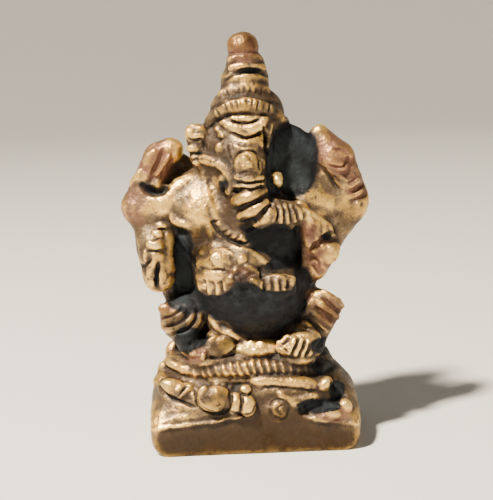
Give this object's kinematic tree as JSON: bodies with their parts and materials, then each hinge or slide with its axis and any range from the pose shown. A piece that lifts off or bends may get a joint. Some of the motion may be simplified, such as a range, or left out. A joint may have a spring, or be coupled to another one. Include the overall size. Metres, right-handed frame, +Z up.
{
  "type": "bronze amulet",
  "caption": "Small solid cast-bronze amulet: a seated elephant-headed figure with a tall tiered crown on a rope-edged pedestal, free-standing.",
  "frame": {"origin": "middle of the flat underside of the pedestal", "axes": "+Z up along the figure's height; the figure faces -Y; +X to the viewer's right"},
  "size_m": [0.0212, 0.0119, 0.035],
  "materials": {
    "cast_bronze": "worn cast bronze with a dark patina in the recesses"
  },
  "bodies": {
    "root": {"cast_figure": "cast_bronze"}
  },
  "joints": []
}
